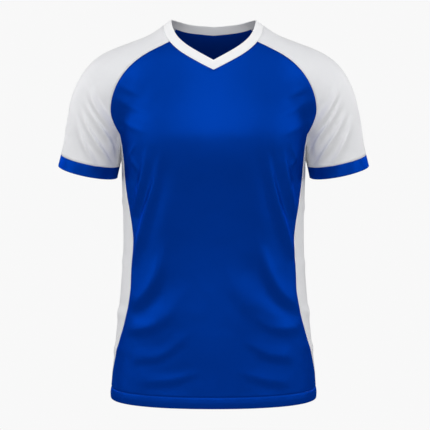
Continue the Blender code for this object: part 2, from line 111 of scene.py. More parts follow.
# The middle of the torso and of the upper arms, which say which way is outward
figure = {
    "torsoWide": 0.175,
    "torsoDeep": 0.120,
    "torsoTop": -0.10,
    "shoulderTurn": 60,   # how soon outward becomes upward above the torso's top
    "armLine": [(0.050, -0.062), (0.090, -0.077), (0.140, -0.096), (0.1835, -0.1185), (0.205, -0.156),
                (0.2135, -0.195), (0.2225, -0.235), (0.232, -0.275), (0.243, -0.335)],
    "armRadius": 0.058,
    "armpitBlend": 0.004,
    "torsoMap": 0.155, "neckMap": 0.088,  # radii that turn angles into lengths of cloth
}


def alongArm(places):
    # nearest point of the arm's middle line, and how far along the line it is
    folded = places.copy()
    folded[:, 0] = np.abs(folded[:, 0])
    best = np.full(len(places), np.inf)
    middle = np.zeros_like(places)
    travelled = np.zeros(len(places))
    run = 0.0
    for (x0, z0), (x1, z1) in zip(figure["armLine"], figure["armLine"][1:]):
        start = np.array((x0, 0, z0))
        step = np.array((x1 - x0, 0, z1 - z0))
        length = np.linalg.norm(step)
        share = np.clip((folded - start) @ step / length ** 2, 0, 1)
        nearest = start + share[:, None] * step
        apart = np.linalg.norm(folded - nearest, axis=1)
        closer = apart < best
        best = np.where(closer, apart, best)
        middle[closer] = nearest[closer]
        travelled = np.where(closer, run + share * length, travelled)
        run += length
    middle[:, 0] *= np.sign(places[:, 0])
    return middle, best, travelled


def outward(places):
    # one smooth outward direction for every panel, so that seams stay closed when cloth is moved
    wide, deep = figure["torsoWide"], figure["torsoDeep"]
    above = np.clip(places[:, 2] - figure["torsoTop"], 0, None)
    torso = np.stack([places[:, 0] / wide ** 2, places[:, 1] / deep ** 2, above * figure["shoulderTurn"]],
                     axis=1)
    torsoGap = np.abs(np.hypot(places[:, 0] / wide, places[:, 1] / deep) - 1) * deep
    middle, apart, _ = alongArm(places)
    armGap = np.abs(apart - figure["armRadius"])
    armShare = (torsoGap + figure["armpitBlend"]) ** 2
    torsoShare = (armGap + figure["armpitBlend"]) ** 2
    share = (armShare / (armShare + torsoShare))[:, None]
    return unit(unit(torso) * (1 - share) + unit(places - middle) * share)


walls = {
    "limit": 0.0026,      # longer than any wall is thick, shorter than any cell of a panel
    "merge": 0.00002,
    "quadTurn": 60,       # degrees by which two triangles of one four-sided face may differ
    "cornerTurn": 25, "rimTurn": 50,  # degrees from which a panel's corners and its rim stay sharp
    "smoothTurn": 62,
}
rims = {}  # the outer rim of each panel, as edges between two points


def roundedCopy(node, name, levels, finer, merge):
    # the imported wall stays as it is: a copy is merged, given four-sided faces and rounded
    pickOnly(frame["nodes"][node])
    bpy.ops.object.duplicate()
    piece = bpy.context.object
    piece.name = name
    piece.data.name = name
    piece.parent = None
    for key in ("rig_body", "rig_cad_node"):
        if key in piece:
            del piece[key]
    bpy.ops.object.mode_set(mode="EDIT")
    bpy.ops.mesh.select_all(action="SELECT")
    bpy.ops.mesh.remove_doubles(threshold=merge)
    quadTurn = math.radians(walls["quadTurn"])
    bpy.ops.mesh.tris_convert_to_quads(face_threshold=quadTurn, shape_threshold=math.pi)
    bpy.ops.mesh.select_all(action="DESELECT")
    bpy.ops.mesh.select_mode(type="EDGE")
    shape = bmesh.from_edit_mesh(piece.data)
    for point in shape.verts:
        if abs(point.co.x) < merge:
            point.co.x = 0  # what is merged at the middle stays in the middle
    rimFaces = {face for face in shape.faces
                if min(edge.calc_length() for edge in face.edges) < walls["limit"]}
    for edge in shape.edges:
        turn = math.degrees(edge.calc_face_angle(0))
        if edge.calc_length() < walls["limit"]:
            edge.select = turn > walls["cornerTurn"]
        else:
            edge.select = turn > walls["rimTurn"] and any(face in rimFaces for face in edge.link_faces)
    flatFaces = [face for face in shape.faces if face not in rimFaces]
    away = outward(np.array([face.calc_center_median() for face in flatFaces]))
    outerFaces = {face for face, way in zip(flatFaces, away) if face.normal.dot(Vector(way)) > 0}
    rimPoints = sorted({point.index for face in rimFaces for point in face.verts})
    outerPoints = sorted({point.index for face in outerFaces for point in face.verts})
    rims[name] = [tuple(np.array(point.co) for point in edge.verts) for edge in shape.edges
                  if len(rimFaces.intersection(edge.link_faces)) == 1
                  and len(outerFaces.intersection(edge.link_faces)) == 1]
    bmesh.update_edit_mesh(piece.data)
    bpy.ops.transform.edge_crease(value=1)
    bpy.ops.object.mode_set(mode="OBJECT")
    piece.vertex_groups.new(name="rim").add(rimPoints, 1.0, "REPLACE")
    piece.vertex_groups.new(name="outer").add(outerPoints, 1.0, "REPLACE")
    rounding = piece.modifiers.new("rounding", "SUBSURF")
    rounding.levels = levels
    rounding.render_levels = levels
    bpy.ops.object.modifier_apply(modifier="rounding")
    if finer:
        outer = weightsOf(piece, "outer")
        rim = weightsOf(piece, "rim")
        bpy.ops.object.mode_set(mode="EDIT")
        bpy.ops.mesh.select_mode(type="FACE")
        bpy.ops.mesh.select_all(action="DESELECT")
        shape = bmesh.from_edit_mesh(piece.data)
        for face in shape.faces:
            corners = [point.index for point in face.verts]
            face.select = bool(outer[corners].min() > 0.99 and rim[corners].max() < 0.99)
        bmesh.update_edit_mesh(piece.data)
        bpy.ops.mesh.subdivide(number_cuts=1)
        bpy.ops.object.mode_set(mode="OBJECT")
    piece.data.materials.clear()
    return piece


def evenly(line, spacing):
    steps = np.concatenate([[0], np.cumsum(np.linalg.norm(np.diff(line, axis=0), axis=1))])
    places = np.linspace(0, steps[-1], max(2, int(steps[-1] / spacing)))
    return np.stack([np.interp(places, steps, column) for column in line.T], axis=1)


def smoothed(line, rounds):
    for _ in range(rounds):
        line = line.copy()
        line[1:-1] = (line[:-2] + 2 * line[1:-1] + line[2:]) / 4
    return line


# Creases lie in space, so that they run over the seams from one panel to the next. Each row is the way of
# the crest as seen in its view, from the top or the middle outwards, then how far the crest stands out (below
# 0 is a trough), and how wide its outer or upper side and its inner or lower side are.
creases = {
    "front": [
        # from the armpits to the waist
        (((-0.096, -0.236), (-0.105, -0.287), (-0.116, -0.330), (-0.131, -0.390), (-0.142, -0.432)),
         0.0096, 0.0078, 0.0105),
        (((-0.122, -0.232), (-0.130, -0.287), (-0.140, -0.342)), 0.0056, 0.0065, 0.0080),
        (((-0.066, -0.240), (-0.080, -0.320), (-0.093, -0.400)), 0.0020, 0.013, 0.020),
        (((-0.086, -0.388), (-0.093, -0.416), (-0.099, -0.446), (-0.110, -0.475), (-0.128, -0.501),
          (-0.150, -0.515)), 0.0074, 0.014, 0.0100),
        (((0.094, -0.232), (0.104, -0.281), (0.114, -0.327), (0.129, -0.380), (0.142, -0.420)),
         0.0096, 0.0074, 0.0110),
        (((0.127, -0.234), (0.135, -0.288), (0.145, -0.345)), 0.0056, 0.0060, 0.0080),
        (((0.064, -0.234), (0.078, -0.304), (0.091, -0.390)), 0.0020, 0.013, 0.020),
        (((0.081, -0.385), (0.088, -0.412), (0.095, -0.438), (0.107, -0.471), (0.126, -0.498),
          (0.151, -0.515)), 0.0076, 0.014, 0.0105),
        # over the hips
        (((-0.052, -0.474), (-0.084, -0.528), (-0.109, -0.549), (-0.152, -0.559)), 0.0020, 0.015, 0.012),
        (((-0.086, -0.532), (-0.112, -0.550), (-0.152, -0.559)), 0.0026, 0.013, 0.0085),
        (((-0.046, -0.558), (-0.077, -0.590), (-0.102, -0.604), (-0.144, -0.611)), 0.0034, 0.014, 0.0085),
        (((-0.028, -0.630), (-0.076, -0.645), (-0.128, -0.651)), 0.0028, 0.011, 0.0085),
        (((0.016, -0.420), (0.039, -0.476), (0.060, -0.509), (0.084, -0.537), (0.114, -0.553),
          (0.154, -0.554)), 0.0022, 0.020, 0.014),
        (((0.076, -0.530), (0.098, -0.548), (0.122, -0.555), (0.154, -0.553)), 0.0026, 0.013, 0.0085),
        (((0.060, -0.574), (0.100, -0.601), (0.140, -0.607)), 0.0034, 0.014, 0.0085),
        (((0.054, -0.630), (0.094, -0.646), (0.132, -0.653)), 0.0026, 0.011, 0.0085),
        # across the chest
        (((-0.150, -0.218), (-0.072, -0.205), (0.000, -0.201), (0.072, -0.205), (0.150, -0.218)),
         0.0034, 0.032, 0.060),
        (((-0.130, -0.128), (-0.065, -0.138), (0.000, -0.142), (0.065, -0.138), (0.130, -0.128)),
         -0.0032, 0.036, 0.036),
        # pulls at the raglan seams and armpits
        (((-0.126, -0.132), (-0.146, -0.126), (-0.166, -0.114)), 0.0010, 0.008, 0.007),
        (((-0.112, -0.162), (-0.146, -0.153), (-0.172, -0.138)), 0.0014, 0.010, 0.007),
        (((-0.126, -0.196), (-0.150, -0.188), (-0.172, -0.176)), 0.0012, 0.008, 0.006),
        (((-0.138, -0.264), (-0.149, -0.251), (-0.153, -0.234)), 0.0016, 0.005, 0.005),
        (((-0.146, -0.226), (-0.155, -0.240)), 0.0014, 0.004, 0.004),
        (((0.128, -0.134), (0.147, -0.128), (0.166, -0.117)), 0.0010, 0.008, 0.007),
        (((0.116, -0.166), (0.148, -0.156), (0.172, -0.142)), 0.0014, 0.010, 0.007),
        (((0.128, -0.200), (0.152, -0.191), (0.172, -0.180)), 0.0012, 0.008, 0.006),
        (((0.139, -0.260), (0.150, -0.247), (0.153, -0.230)), 0.0016, 0.005, 0.005),
        (((0.142, -0.222), (0.147, -0.240)), 0.0014, 0.004, 0.004),
        # sleeves, towards the armpits
        (((-0.227, -0.110), (-0.218, -0.140), (-0.208, -0.157), (-0.197, -0.175), (-0.181, -0.200)),
         0.0110, 0.0066, 0.0095),
        (((-0.233, -0.141), (-0.220, -0.165), (-0.210, -0.180), (-0.198, -0.198), (-0.188, -0.216),
          (-0.180, -0.242)), 0.0076, 0.0070, 0.0034),
        (((-0.241, -0.156), (-0.230, -0.183), (-0.221, -0.200), (-0.210, -0.219), (-0.199, -0.237),
          (-0.188, -0.258)), 0.0080, 0.0074, 0.0034),
        (((-0.252, -0.166), (-0.243, -0.195), (-0.235, -0.215), (-0.226, -0.234), (-0.214, -0.260)),
         0.0062, 0.0074, 0.0036),
        (((0.226, -0.107), (0.217, -0.137), (0.207, -0.155), (0.196, -0.173), (0.181, -0.198)),
         0.0110, 0.0066, 0.0095),
        (((0.232, -0.137), (0.221, -0.161), (0.210, -0.178), (0.199, -0.195), (0.188, -0.214),
          (0.180, -0.240)), 0.0076, 0.0070, 0.0034),
        (((0.242, -0.152), (0.231, -0.180), (0.221, -0.198), (0.211, -0.216), (0.200, -0.236),
          (0.188, -0.258)), 0.0080, 0.0074, 0.0034),
        (((0.253, -0.164), (0.244, -0.193), (0.236, -0.212), (0.227, -0.233), (0.215, -0.260)),
         0.0062, 0.0074, 0.0036),
    ],
    "back": [
        # from the armpits to the waist
        (((-0.098, -0.226), (-0.110, -0.290), (-0.121, -0.345), (-0.138, -0.402)), 0.0074, 0.0085, 0.0100),
        (((-0.126, -0.236), (-0.135, -0.290), (-0.145, -0.346)), 0.0026, 0.007, 0.007),
        (((0.094, -0.232), (0.106, -0.295), (0.120, -0.350), (0.136, -0.396)), 0.0074, 0.0080, 0.0100),
        (((0.124, -0.240), (0.133, -0.296), (0.144, -0.350)), 0.0026, 0.006, 0.007),
        # over the hips
        (((-0.066, -0.372), (-0.088, -0.440), (-0.114, -0.484), (-0.152, -0.510)), 0.0050, 0.015, 0.0105),
        (((-0.030, -0.455), (-0.070, -0.520), (-0.106, -0.547), (-0.152, -0.556)), 0.0038, 0.016, 0.010),
        (((-0.046, -0.566), (-0.090, -0.596), (-0.144, -0.606)), 0.0032, 0.013, 0.0090),
        (((-0.040, -0.628), (-0.086, -0.642), (-0.134, -0.648)), 0.0024, 0.011, 0.0085),
        (((0.070, -0.380), (0.090, -0.446), (0.118, -0.490), (0.152, -0.512)), 0.0050, 0.014, 0.0100),
        (((0.040, -0.470), (0.074, -0.526), (0.108, -0.550), (0.152, -0.557)), 0.0038, 0.016, 0.010),
        (((0.056, -0.572), (0.098, -0.600), (0.142, -0.608)), 0.0032, 0.013, 0.0090),
        (((0.050, -0.632), (0.092, -0.645), (0.134, -0.650)), 0.0024, 0.011, 0.0085),
        # below the shoulder blades and in the small of the back
        (((-0.140, -0.216), (-0.070, -0.236), (0.000, -0.246), (0.070, -0.238), (0.140, -0.218)),
         0.0028, 0.038, 0.024),
        (((-0.040, -0.300), (0.004, -0.324), (0.046, -0.306)), 0.0014, 0.015, 0.012),
        (((-0.072, -0.398), (-0.010, -0.416), (0.056, -0.402)), 0.0018, 0.014, 0.010),
        (((-0.044, -0.436), (0.014, -0.450), (0.072, -0.440)), 0.0018, 0.013, 0.010),
        # pulls at the raglan seams
        (((-0.112, -0.176), (-0.142, -0.162), (-0.166, -0.140)), 0.0014, 0.009, 0.007),
        (((-0.120, -0.208), (-0.146, -0.196), (-0.170, -0.178)), 0.0012, 0.008, 0.006),
        (((0.108, -0.172), (0.140, -0.158), (0.166, -0.136)), 0.0014, 0.009, 0.007),
        (((0.122, -0.212), (0.148, -0.199), (0.170, -0.182)), 0.0012, 0.008, 0.006),
        # sleeves, towards the armpits
        (((-0.228, -0.114), (-0.219, -0.142), (-0.206, -0.164), (-0.185, -0.196)), 0.0096, 0.0068, 0.0090),
        (((-0.236, -0.144), (-0.222, -0.172), (-0.203, -0.204), (-0.186, -0.240)), 0.0072, 0.0074, 0.0036),
        (((-0.247, -0.160), (-0.236, -0.192), (-0.220, -0.222), (-0.200, -0.256)), 0.0062, 0.0078, 0.0036),
        (((0.227, -0.110), (0.218, -0.140), (0.205, -0.163), (0.184, -0.197)), 0.0096, 0.0068, 0.0090),
        (((0.238, -0.148), (0.224, -0.176), (0.206, -0.206), (0.188, -0.242)), 0.0072, 0.0074, 0.0036),
        (((0.248, -0.164), (0.238, -0.194), (0.223, -0.222), (0.204, -0.256)), 0.0062, 0.0078, 0.0036),
    ],
    "left": [
        (((-0.055, -0.330), (-0.010, -0.341), (0.040, -0.326)), 0.0014, 0.010, 0.008),
        (((-0.060, -0.436), (-0.010, -0.446), (0.050, -0.432)), 0.0015, 0.011, 0.008),
        (((-0.075, -0.518), (-0.015, -0.536), (0.062, -0.522)), 0.0024, 0.012, 0.009),
        (((-0.066, -0.590), (-0.006, -0.602), (0.060, -0.594)), 0.0020, 0.011, 0.009),
        (((-0.022, -0.140), (-0.014, -0.185), (-0.026, -0.236)), 0.0026, 0.009, 0.008),
        (((0.024, -0.150), (0.018, -0.196), (0.028, -0.240)), 0.0022, 0.009, 0.008),
    ],
    "right": [
        (((-0.050, -0.322), (0.004, -0.332), (0.046, -0.320)), 0.0014, 0.010, 0.008),
        (((-0.060, -0.446), (0.000, -0.438), (0.054, -0.450)), 0.0015, 0.011, 0.008),
        (((-0.076, -0.522), (-0.010, -0.538), (0.064, -0.526)), 0.0024, 0.012, 0.009),
        (((-0.064, -0.598), (0.000, -0.608), (0.058, -0.600)), 0.0020, 0.011, 0.009),
        (((-0.024, -0.146), (-0.016, -0.190), (-0.028, -0.238)), 0.0026, 0.009, 0.008),
        (((0.022, -0.142), (0.016, -0.190), (0.026, -0.236)), 0.0022, 0.009, 0.008),
    ],
}
# for each view the axis across it, the axis along the look, and the side that it looks at
seenFrom = {"front": (0, 1, -1), "back": (0, 1, 1), "left": (1, 0, 1), "right": (1, 0, -1)}
folding = {
    "strength": 1.0,
    "step": 0.004, "rounds": 8,  # how finely a crest is drawn, and how often it is smoothed
    "runOn": 0.012,       # a crest fades out this far past its first and last points
    "lean": 1.25,         # above 1 a crest is highest past its middle
    "taper": 1.2,         # above 1 its ends are thinner
    "startWide": 0.75, "endWide": 1.15,
    "reach": 3,           # widths from the crest beyond which it moves nothing
    "fadeFrom": 0.10, "fadeTo": 0.50,  # how squarely cloth faces the view where a crease begins and is whole
    "armpit": (0.168, 0.0, -0.235), "armpitFrom": 0.028, "armpitTo": 0.055,  # no creases in the armpit itself
}


def easedIn(amount, first, last):
    share = np.clip((amount - first) / (last - first), 0, 1)
    return share * share * (3 - 2 * share)


def crestLine(way):
    way = np.array(way)
    first = way[0] + folding["runOn"] * unit(way[0] - way[1])
    last = way[-1] + folding["runOn"] * unit(way[-1] - way[-2])
    return smoothed(evenly(np.vstack([first, way, last]), folding["step"]), folding["rounds"])


def creaseRise(places, away):
    rise = np.zeros(len(places))
    mirrored = np.column_stack([np.abs(places[:, 0]), places[:, 1:]])
    fromArmpit = np.linalg.norm(mirrored - folding["armpit"], axis=1)
    calm = easedIn(fromArmpit, folding["armpitFrom"], folding["armpitTo"])
    for view, rows in creases.items():
        across, facing, sign = seenFrom[view]
        fade = calm * easedIn(sign * away[:, facing], folding["fadeFrom"], folding["fadeTo"])
        flat = places[:, (across, 2)]
        for way, height, outerWidth, innerWidth in rows:
            line = crestLine(way)
            reach = folding["reach"] * max(outerWidth, innerWidth)
            near = np.all((flat > line.min(axis=0) - reach) & (flat < line.max(axis=0) + reach), axis=1)
            near &= fade > 0
            if not near.any():
                continue
            offsets = flat[near][:, None] - line
            nearest = (offsets ** 2).sum(axis=2).argmin(axis=1)
            offset = offsets[np.arange(len(nearest)), nearest]
            ahead = unit(np.gradient(line, axis=0))[nearest]
            aside = ahead[:, 0] * offset[:, 1] - ahead[:, 1] * offset[:, 0]
            aside *= math.copysign(1, way[len(way) // 2][0])
            length = np.linalg.norm(np.diff(line, axis=0), axis=1).sum()
            share = np.clip(nearest / (len(line) - 1) + (ahead * offset).sum(axis=1) / length, 0, 1)
            width = np.where(aside > 0, outerWidth, innerWidth)
            width = width * (folding["startWide"] + share * (folding["endWide"] - folding["startWide"]))
            taper = np.clip(np.sin(np.pi * share ** folding["lean"]), 0, 1) ** folding["taper"]
            rise[near] += folding["strength"] * height * fade[near] * taper * np.exp(-(aside / width) ** 2)
    return rise


def noiseAt(places, size, seed):
    return np.array([noise.noise(Vector(place / size) + Vector((seed, 0, 0))) for place in places])


sewing = {
    "reach": 0.02,                            # how far from a seam its relief is reckoned
    "dip": 0.0002, "dipWidth": 0.0022,        # the valley at a seam
    "lip": 0.0004, "lipAt": 0.0034, "lipWidth": 0.0018,  # the allowance that lies under the cloth beside it
    "pucker": 0.0003, "puckerSize": 0.011, "puckerReach": 0.007, "puckerSeed": 19,
    "hemLine": -0.6748, "hemGroove": 0.0011, "hemGrooveWidth": 0.0014,
    "hemSwell": 0.0009, "hemSwellAt": -0.6855, "hemSwellWidth": 0.007,
    "sewnWithin": 0.0014,                     # a rim this near to another panel is sewn to it
    "meet": 0.00014,                          # how far a sewn rim moves to close the gap in the solids
}
unevenness = [(0.0005, 0.055, 0), (0.0002, 0.021, 7)]  # height, size and seed of the cloth's slow waves


def settleCloth(piece, tree, lip):
    # folds, unevenness and the soft relief at the seams
    places = pointsOf(piece)
    away = outward(places)
    rise = creaseRise(places, away)
    for waveHeight, waveSize, seed in unevenness:
        rise += waveHeight * noiseAt(places, waveSize, seed)
    gap = gapTo(tree, places, sewing["reach"])
    rise -= sewing["dip"] * np.exp(-(gap / sewing["dipWidth"]) ** 2)
    rise += lip * sewing["lip"] * np.exp(-((gap - sewing["lipAt"]) / sewing["lipWidth"]) ** 2)
    height = places[:, 2]
    hem = np.exp(-((height - sewing["hemLine"]) / sewing["hemGrooveWidth"]) ** 2)
    rise -= sewing["hemGroove"] * hem
    rise += sewing["hemSwell"] * np.exp(-((height - sewing["hemSwellAt"]) / sewing["hemSwellWidth"]) ** 2)
    closeness = np.exp(-(np.minimum(gap, np.abs(height - sewing["hemLine"])) / sewing["puckerReach"]) ** 2)
    rise += sewing["pucker"] * closeness * noiseAt(places, sewing["puckerSize"], sewing["puckerSeed"])
    putPoints(piece, places + away * rise[:, None])


def rollRims(piece, tree, rim, outer, seamRoll, foldRoll):
    # rounds the rim of the wall: a little where it is sewn, more where it is a folded edge
    places = pointsOf(piece)
    push = np.zeros_like(places)
    for face in piece.data.polygons:
        corners = list(face.vertices)
        if rim[corners].min() > 0.999 and np.ptp(outer[corners]) > 0.01:
            push[corners] += face.normal
    onRim = np.flatnonzero(np.linalg.norm(push, axis=1) > 0)
    sewn = gapTo(tree, places[onRim], 2 * sewing["sewnWithin"]) < sewing["sewnWithin"]
    depth = np.where(sewn, seamRoll, foldRoll)
    across = 2 * outer[onRim] - 1
    pull = depth * (1 - np.sqrt(np.clip(1 - across ** 2, 0, 1))) - np.where(sewn, sewing["meet"], 0)
    places[onRim] -= unit(push[onRim]) * pull[:, None]
    putPoints(piece, places)


def writeMap(piece, flat, turn=None):
    # where a map runs round and meets its own start, each face's corners stay on one side of that place
    layer = piece.data.uv_layers.new(name="cloth")
    corners = np.empty(len(piece.data.loops), dtype=int)
    piece.data.loops.foreach_get("vertex_index", corners)
    spots = flat[corners]
    if turn:
        firsts = np.repeat([spots[face.loop_start, 0] for face in piece.data.polygons],
                           [face.loop_total for face in piece.data.polygons])
        spots[:, 0] -= turn * np.round((spots[:, 0] - firsts) / turn)
    layer.data.foreach_set("uv", spots.ravel())


# Maps in metres along the cloth, for the knit
def mapTorso(piece):
    places = pointsOf(piece)
    turned = places[:, 1].mean() > 0
    angle = np.arctan2(places[:, 0], places[:, 1] if turned else -places[:, 1])
    writeMap(piece, np.stack([figure["torsoMap"] * angle, places[:, 2]], axis=1))


def mapSide(piece):
    places = pointsOf(piece)
    writeMap(piece, places[:, (1, 2)])


def mapArm(piece):
    places = pointsOf(piece)
    middle, _, travelled = alongArm(places)
    apart = places - middle
    side = np.sign(apart[:, 0] * np.sign(places[:, 0]) + apart[:, 2])
    acrossArm = np.hypot(apart[:, 0], apart[:, 2]) * side
    angle = np.arctan2(apart[:, 1], acrossArm)
    radius = figure["armRadius"]
    writeMap(piece, np.stack([radius * angle, -travelled], axis=1), 2 * math.pi * radius)


def mapCollar(piece):
    places = pointsOf(piece)
    angle = np.arctan2(places[:, 0], -places[:, 1])
    radius = figure["neckMap"]
    writeMap(piece, np.stack([radius * angle, places[:, 2]], axis=1), 2 * math.pi * radius)


def markInside(piece, outer):
    # 1 on the wrong side of the cloth, for a duller knit
    layer = piece.data.attributes.new("inside", "FLOAT", "POINT")
    layer.data.foreach_set("value", 1 - outer)


def group(name, inputs, outputs):
    made = bpy.data.node_groups.new(name, "ShaderNodeTree")
    for label, kind, value in inputs:
        socket = made.interface.new_socket(label, in_out="INPUT", socket_type=kind)
        if value is not None:
            socket.default_value = value
    for label, kind in outputs:
        made.interface.new_socket(label, in_out="OUTPUT", socket_type=kind)
    entry = made.nodes.new("NodeGroupInput")
    leave = made.nodes.new("NodeGroupOutput")
    return made, entry, leave


def maths(tree, operation, first, second=None, third=None):
    node = tree.nodes.new("ShaderNodeMath")
    node.operation = operation
    for socket, value in zip(node.inputs, (first, second, third)):
        if value is None:
            continue
        if isinstance(value, (int, float)):
            socket.default_value = value
        else:
            tree.links.new(value, socket)
    return node.outputs[0]


loops = {
    "slant": 1.6,         # how far the V of a loop dips
    "swell": 0.35,        # the height of the loops, from 0 to 0.5
    "squareness": 3.0,    # how flat a wale is on top
    "depth": 0.0003,      # from the groove to the crown
}


def knitGroup():
    # rows of interlocked loops: each wale is a column of V shapes; the groove output is painted shade for the
    # low parts of the loops
    made, entry, leave = group(
        "knitLoops",
        [("Map", "NodeSocketVector", None), ("Wale", "NodeSocketFloat", 0.001),
         ("Course", "NodeSocketFloat", 0.0008)],
        [("Height", "NodeSocketFloat"), ("GrooveShade", "NodeSocketFloat")])
    split = made.nodes.new("ShaderNodeSeparateXYZ")
    made.links.new(entry.outputs["Map"], split.inputs[0])
    across = maths(made, "DIVIDE", split.outputs[0], entry.outputs["Wale"])
    along = maths(made, "DIVIDE", split.outputs[1], entry.outputs["Course"])
    column = maths(made, "ABSOLUTE", maths(made, "SUBTRACT", maths(made, "FRACT", across), 0.5))
    course = maths(made, "ADD", along, maths(made, "MULTIPLY", column, loops["slant"]))
    wave = maths(made, "SINE", maths(made, "MULTIPLY", course, 2 * math.pi))
    wave = maths(made, "MULTIPLY_ADD", wave, loops["swell"], 0.5)
    edge = maths(made, "POWER", maths(made, "MULTIPLY", column, 2.0), loops["squareness"])
    height = maths(made, "MULTIPLY", wave, maths(made, "SUBTRACT", 1.0, edge))
    made.links.new(height, leave.inputs["Height"])
    # painted shade: 1 in the grooves between loops, 0 on their crowns
    made.links.new(maths(made, "SUBTRACT", 1.0, height), leave.inputs["GrooveShade"])
    return made


tones = {
    "cloudScale": 14, "cloudDetail": 3, "speckScale": 420, "speckDetail": 2,
    # the grooves' share lays painted shade into the knit's grooves
    "clouds": 0.35, "specks": 0.25, "grooveShade": 0.30, "inside": 0.5,  # shares of the deeper colour
    "glossChange": 0.12, "insideDuller": 0.2,
}


def mottle(tree, place, scale, detail):
    texture = tree.nodes.new("ShaderNodeTexNoise")
    texture.inputs["Scale"].default_value = scale
    texture.inputs["Detail"].default_value = detail
    tree.links.new(place, texture.inputs["Vector"])
    return texture.outputs["Fac"]


def toneGroup():
    # slow changes of colour and gloss over the cloth, painted shade in the knit's grooves, and a duller wrong
    # side
    made, entry, leave = group(
        "clothTone",
        [("Place", "NodeSocketVector", None), ("Colour", "NodeSocketColor", (1, 1, 1, 1)),
         ("Deeper", "NodeSocketColor", (1, 1, 1, 1)), ("GrooveShade", "NodeSocketFloat", 0.0),
         ("Inside", "NodeSocketFloat", 0.0), ("Roughness", "NodeSocketFloat", 0.45)],
        [("Colour", "NodeSocketColor"), ("Roughness", "NodeSocketFloat")])
    clouds = mottle(made, entry.outputs["Place"], tones["cloudScale"], tones["cloudDetail"])
    specks = mottle(made, entry.outputs["Place"], tones["speckScale"], tones["speckDetail"])
    amount = maths(made, "MULTIPLY", clouds, tones["clouds"])
    amount = maths(made, "MULTIPLY_ADD", specks, tones["specks"], amount)
    # painted shade: the deeper colour laid into the knit's grooves
    amount = maths(made, "MULTIPLY_ADD", entry.outputs["GrooveShade"], tones["grooveShade"], amount)
    amount = maths(made, "MULTIPLY_ADD", entry.outputs["Inside"], tones["inside"], amount)
    blendColour = made.nodes.new("ShaderNodeMix")
    blendColour.data_type = "RGBA"
    made.links.new(amount, blendColour.inputs["Factor"])
    made.links.new(entry.outputs["Colour"], blendColour.inputs["A"])
    made.links.new(entry.outputs["Deeper"], blendColour.inputs["B"])
    made.links.new(blendColour.outputs["Result"], leave.inputs["Colour"])
    gloss = maths(made, "MULTIPLY_ADD", maths(made, "SUBTRACT", clouds, 0.5), tones["glossChange"],
                  entry.outputs["Roughness"])
    gloss = maths(made, "MULTIPLY_ADD", entry.outputs["Inside"], tones["insideDuller"], gloss)
    made.links.new(gloss, leave.inputs["Roughness"])
    return made


knitLoops = knitGroup()
clothTone = toneGroup()


def knitMaterial(name, look):
    paint = bpy.data.materials.new(name)
    paint.use_nodes = True
    tree = paint.node_tree
    shader = tree.nodes["Principled BSDF"]
    clothMap = tree.nodes.new("ShaderNodeUVMap")
    clothMap.uv_map = "cloth"
    place = tree.nodes.new("ShaderNodeTexCoord")
    wrongSide = tree.nodes.new("ShaderNodeAttribute")
    wrongSide.attribute_name = "inside"
    knit = tree.nodes.new("ShaderNodeGroup")
    knit.node_tree = knitLoops
    knit.inputs["Wale"].default_value = look["wale"]
    knit.inputs["Course"].default_value = look["course"]
    tree.links.new(clothMap.outputs["UV"], knit.inputs["Map"])
    tone = tree.nodes.new("ShaderNodeGroup")
    tone.node_tree = clothTone
    tone.inputs["Colour"].default_value = (*look["colour"], 1)
    tone.inputs["Deeper"].default_value = (*look["deeper"], 1)
    tone.inputs["Roughness"].default_value = look["roughness"]
    tree.links.new(place.outputs["Object"], tone.inputs["Place"])
    # the knit's grooves darken the colour as painted shade
    tree.links.new(knit.outputs["GrooveShade"], tone.inputs["GrooveShade"])
    tree.links.new(wrongSide.outputs["Fac"], tone.inputs["Inside"])
    bump = tree.nodes.new("ShaderNodeBump")
    bump.inputs["Strength"].default_value = look["relief"]
    bump.inputs["Distance"].default_value = loops["depth"]
    tree.links.new(knit.outputs["Height"], bump.inputs["Height"])
    tree.links.new(bump.outputs["Normal"], shader.inputs["Normal"])
    tree.links.new(tone.outputs["Colour"], shader.inputs["Base Color"])
    tree.links.new(tone.outputs["Roughness"], shader.inputs["Roughness"])
    shader.inputs["Metallic"].default_value = look["satin"]  # a coloured gloss, as satin polyester has
    shader.inputs["Specular IOR Level"].default_value = look["specular"]
    shader.inputs["Specular Tint"].default_value = (*look["edgeTint"], 1)
    return paint


blueKnit = knitMaterial("blueKnit", {
    "colour": (0.0004, 0.043, 0.360), "deeper": (0.0002, 0.033, 0.292), "edgeTint": (0.05, 0.50, 1.0),
    "roughness": 0.38, "specular": 0.0, "satin": 0.55, "wale": 0.0010, "course": 0.0009, "relief": 0.25})
whiteKnit = knitMaterial("whiteKnit", {
    "colour": (0.795, 0.798, 0.815), "deeper": (0.715, 0.720, 0.745), "edgeTint": (1, 1, 1),
    "roughness": 0.46, "specular": 0.3, "satin": 0.0, "wale": 0.0010, "course": 0.0009, "relief": 0.25})
whiteRib = knitMaterial("whiteRib", {
    "colour": (0.91, 0.912, 0.92), "deeper": (0.85, 0.855, 0.87), "edgeTint": (1, 1, 1),
    "roughness": 0.55, "specular": 0.25, "satin": 0.0, "wale": 0.0018, "course": 0.0012, "relief": 0.6})


twist = {
    "alongTurns": 5.0, "roundTurns": 2.0,  # ply turns over a stitch's length and once round it
    "depth": 0.00006, "roughness": 0.38, "specular": 0.15,
}


